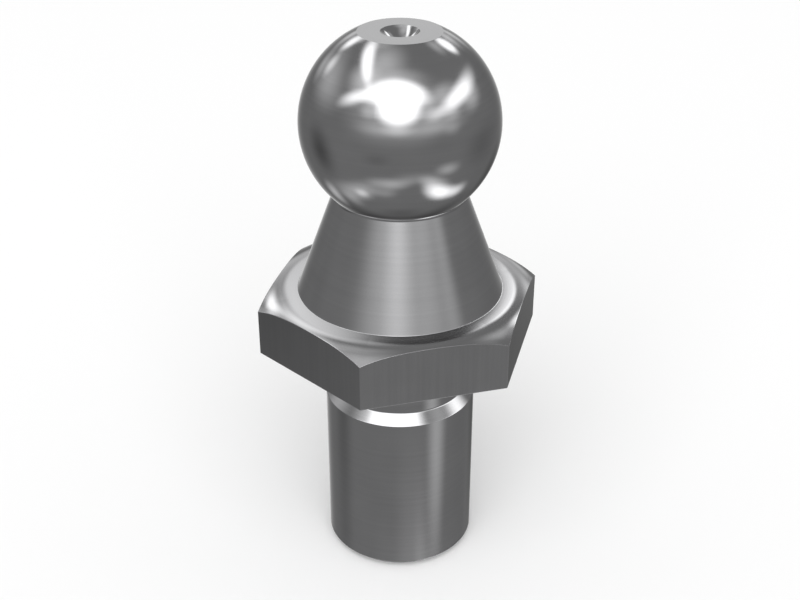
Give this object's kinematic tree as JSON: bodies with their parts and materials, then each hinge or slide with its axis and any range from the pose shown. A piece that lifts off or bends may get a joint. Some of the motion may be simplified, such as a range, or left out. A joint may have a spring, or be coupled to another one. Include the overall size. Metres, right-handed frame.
{
  "type": "threaded ball stud",
  "caption": "Steel ball stud: a ball with a flat top on a conical neck, a crowned hexagon to turn it by, and a threaded shank with a relief groove.",
  "frame": {"origin": "centre of the shank's end face, on which the stud stands", "axes": "+Z along the stud's axis from the shank to the ball, +X through a corner of the hexagon"},
  "size_m": [0.015, 0.013, 0.0292],
  "materials": {
    "turned_steel": "bare steel, fine turned and polished"
  },
  "bodies": {
    "root": {"ball_stud": "turned_steel"}
  },
  "joints": []
}
